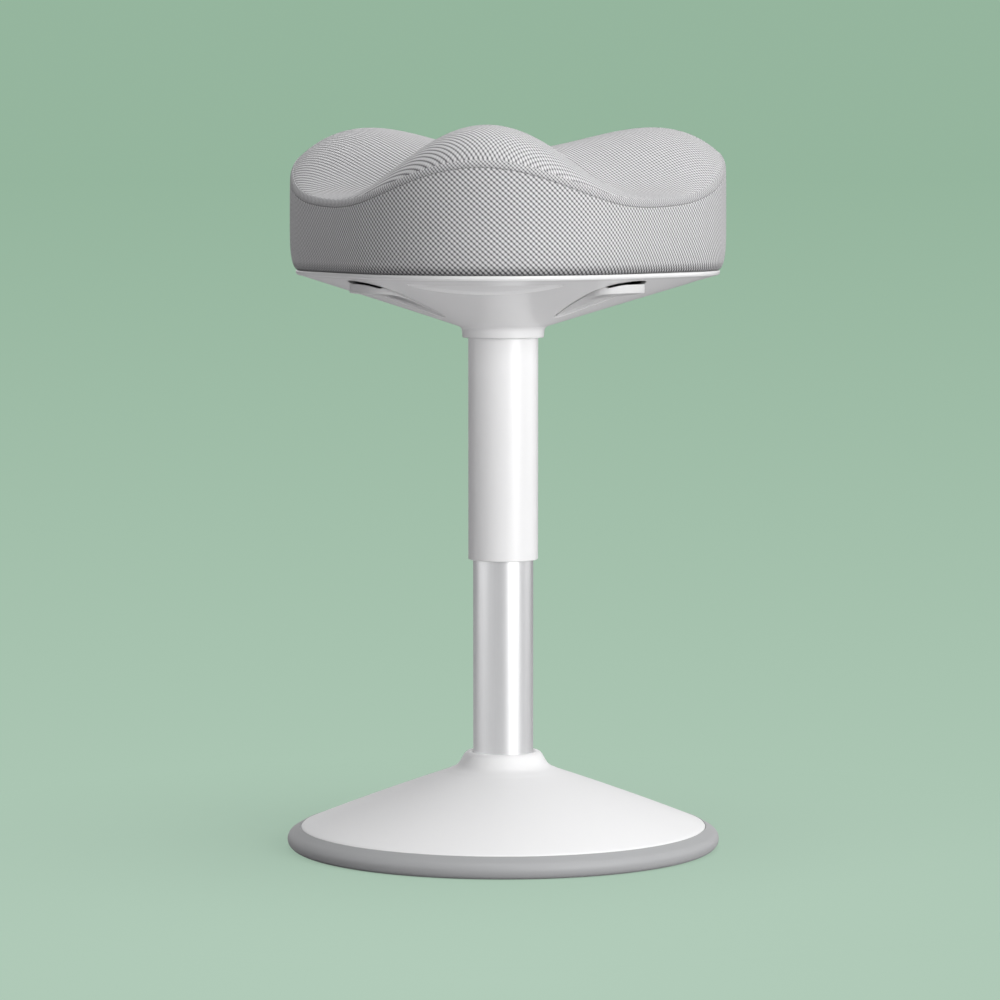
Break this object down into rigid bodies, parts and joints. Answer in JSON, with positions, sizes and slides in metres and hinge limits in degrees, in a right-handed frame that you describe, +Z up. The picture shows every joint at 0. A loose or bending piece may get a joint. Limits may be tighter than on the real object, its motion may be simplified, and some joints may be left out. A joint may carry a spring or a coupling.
{
  "type": "standing stool",
  "caption": "Height-adjustable standing stool: three-lobed padded seat with release levers, telescoping column and weighted round base.",
  "frame": {"origin": "centre of the base's underside, on the floor", "axes": "+Z up along the column; -Y towards the front lobe of the seat, midway between the two levers; +X to the right for someone who looks along +Y"},
  "size_m": [0.3646, 0.3736, 0.5988],
  "materials": {
    "pad_rubber": "matt sheet",
    "ring_rubber": "matt, fine grain",
    "weight_iron": "black painted casting",
    "shell_white": "satin moulding",
    "screw_steel": "zinc plated",
    "column_silver": "satin silver",
    "bush_plastic": "moulded",
    "bearing_steel": "ground",
    "rod_steel": "hard chrome",
    "stop_rubber": "moulded",
    "piston_metal": "turned",
    "clip_steel": "blackened spring steel",
    "cylinder_black": "satin black",
    "valve_steel": "turned",
    "plate_steel": "black powder coat",
    "sleeve_white": "satin",
    "pan_white": "semi-gloss moulding",
    "clip_plastic": "moulded",
    "lever_white": "satin moulding",
    "pin_steel": "ground",
    "spring_steel": "oiled wire",
    "board_ply": "plywood",
    "foam_cream": "moulded foam",
    "cloth_side": "coarse light grey mesh weave",
    "cloth_welt": "coarse light grey mesh weave",
    "cloth_top": "coarse light grey mesh weave"
  },
  "bodies": {
    "base": {"floor_pad": "pad_rubber", "base_ring": "ring_rubber", "base_weight": "weight_iron", "base_shell": "shell_white", "shell_screws": "screw_steel", "column_tube": "column_silver", "guide_bush": "bush_plastic", "thrust_bearing": "bearing_steel", "column_washer": "bearing_steel"},
    "rod": {"piston_rod": "rod_steel", "rod_washer": "bearing_steel", "bump_stop": "stop_rubber", "piston": "piston_metal", "rod_clip": "clip_steel"},
    "seat": {"lift_cylinder": "cylinder_black", "rod_guide": "cylinder_black", "lift_socket": "plate_steel", "seat_plate": "plate_steel", "plate_screws": "screw_steel", "tee_nuts": "screw_steel", "upper_sleeve": "sleeve_white", "sleeve_glide": "sleeve_white", "sleeve_ring": "clip_steel", "seat_pan": "pan_white", "pan_clips": "clip_plastic", "lever_pins": "pin_steel", "spring_left": "spring_steel", "spring_right": "spring_steel", "seat_board": "board_ply", "seat_foam": "foam_cream", "cover_side": "cloth_side", "cover_welt": "cloth_welt", "cover_top": "cloth_top"},
    "valve": {"valve_button": "valve_steel"},
    "left_lever": {"lever_left": "lever_white"},
    "right_lever": {"lever_right": "lever_white"}
  },
  "joints": [
    {"name": "seat_swivel", "type": "hinge", "parent": "base", "child": "rod", "pos_m": [0, 0, 0.01], "axis": [0, 0, 1], "continuous": true},
    {"name": "seat_height", "type": "slide", "parent": "rod", "child": "seat", "axis": [0, 0, 1], "range_m": [-0.119, 0.056]},
    {"name": "lever_left_lift", "type": "hinge", "parent": "seat", "child": "left_lever", "pos_m": [-0.03902, -0.03126, 0.466], "axis": [-0.6252, 0.7804, 0], "range_deg": [0, 5], "stiffness_Nm_per_rad": 3, "springref_deg": -5.73, "deforming": ["spring_left"]},
    {"name": "lever_right_lift", "type": "hinge", "parent": "seat", "child": "right_lever", "pos_m": [0.03902, -0.03126, 0.466], "axis": [-0.6252, -0.7804, 0], "range_deg": [0, 5], "stiffness_Nm_per_rad": 3, "springref_deg": -5.73, "deforming": ["spring_right"]},
    {"name": "valve_press", "type": "slide", "parent": "seat", "child": "valve", "axis": [0, 0, 1], "range_m": [-0.0042, 0]}
  ],
  "couplings": [
    {"joint": "valve_press", "follows": "lever_left_lift", "m_per_rad": -0.047}
  ]
}
